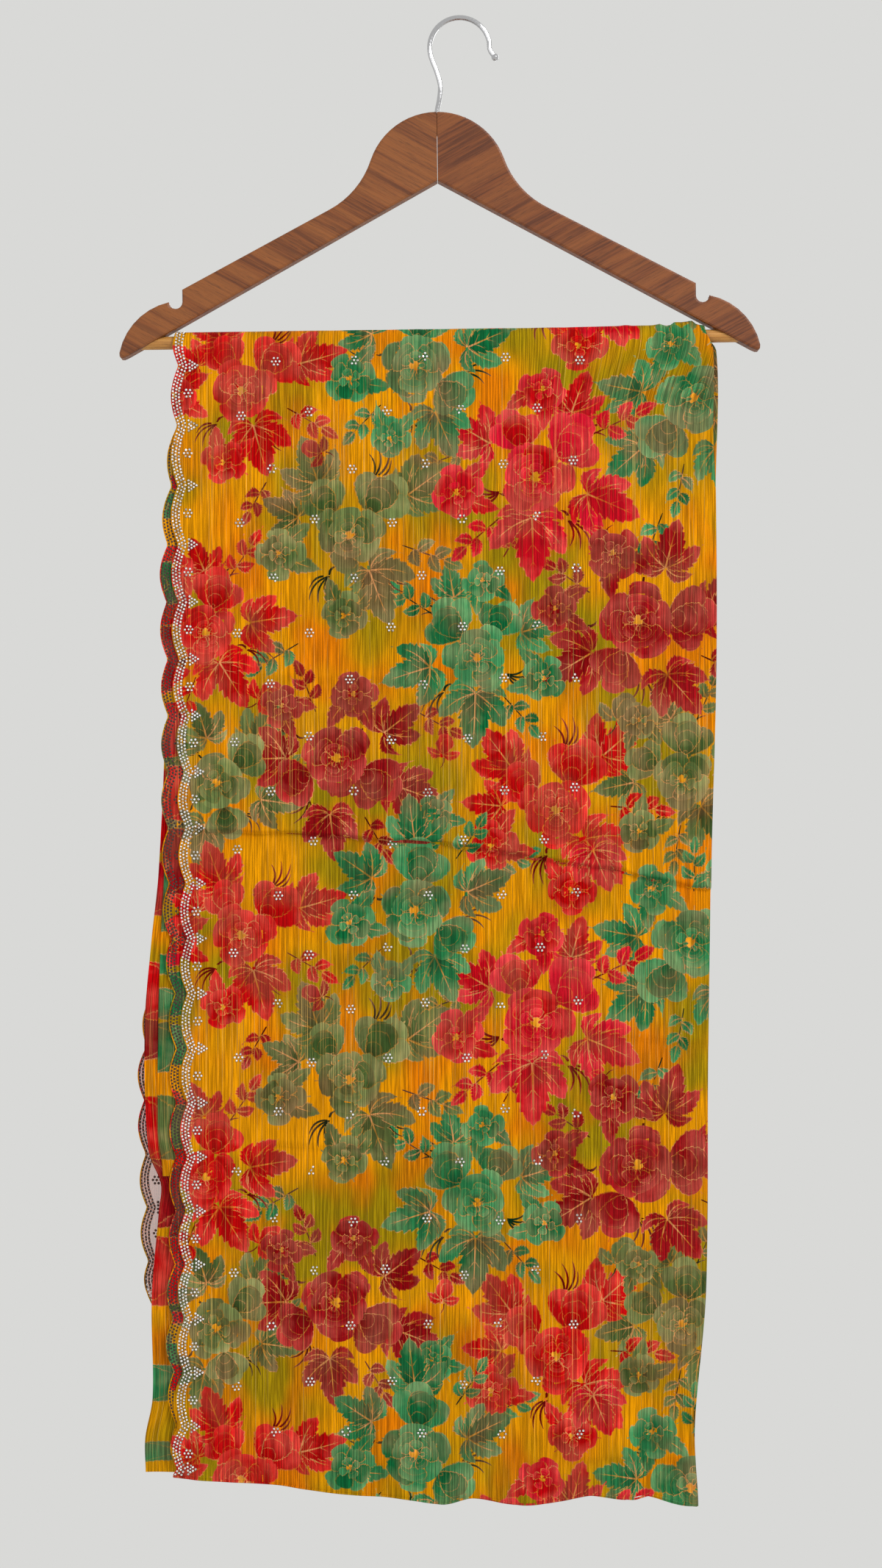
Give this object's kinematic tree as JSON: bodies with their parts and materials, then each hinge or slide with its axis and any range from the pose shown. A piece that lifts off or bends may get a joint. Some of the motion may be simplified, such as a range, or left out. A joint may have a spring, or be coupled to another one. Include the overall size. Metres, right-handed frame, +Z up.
{
  "type": "chiffon saree on a clothes hanger",
  "caption": "Printed chiffon saree folded into a long band and hung over the trouser bar of a wooden clothes hanger with a wire hook; scalloped edge with small stones.",
  "frame": {"origin": "the seat of the hook, where a nail or a rail carries it", "axes": "+Z up, +X to the right as seen from the front, -Y to the front"},
  "size_m": [0.4442, 0.0221, 1.0332],
  "materials": {
    "printed_chiffon": "soft crinkled weave with a faint sheen",
    "chiffon_green_print": "soft crinkled weave with a faint sheen",
    "chiffon_red_print": "soft crinkled weave with a faint sheen",
    "brown_wood": "satin lacquer",
    "light_wood": "satin lacquer",
    "hook_wire": "polished",
    "stones": "cut and silvered"
  },
  "bodies": {
    "root": {"hanger_arm_left": "brown_wood", "hanger_arm_right": "brown_wood", "trouser_bar": "light_wood", "hook": "hook_wire", "outer_stretch": "printed_chiffon", "second_stretch": "printed_chiffon", "inner_layers": "printed_chiffon", "green_fold": "chiffon_green_print", "red_fold": "chiffon_red_print"}
  },
  "joints": []
}
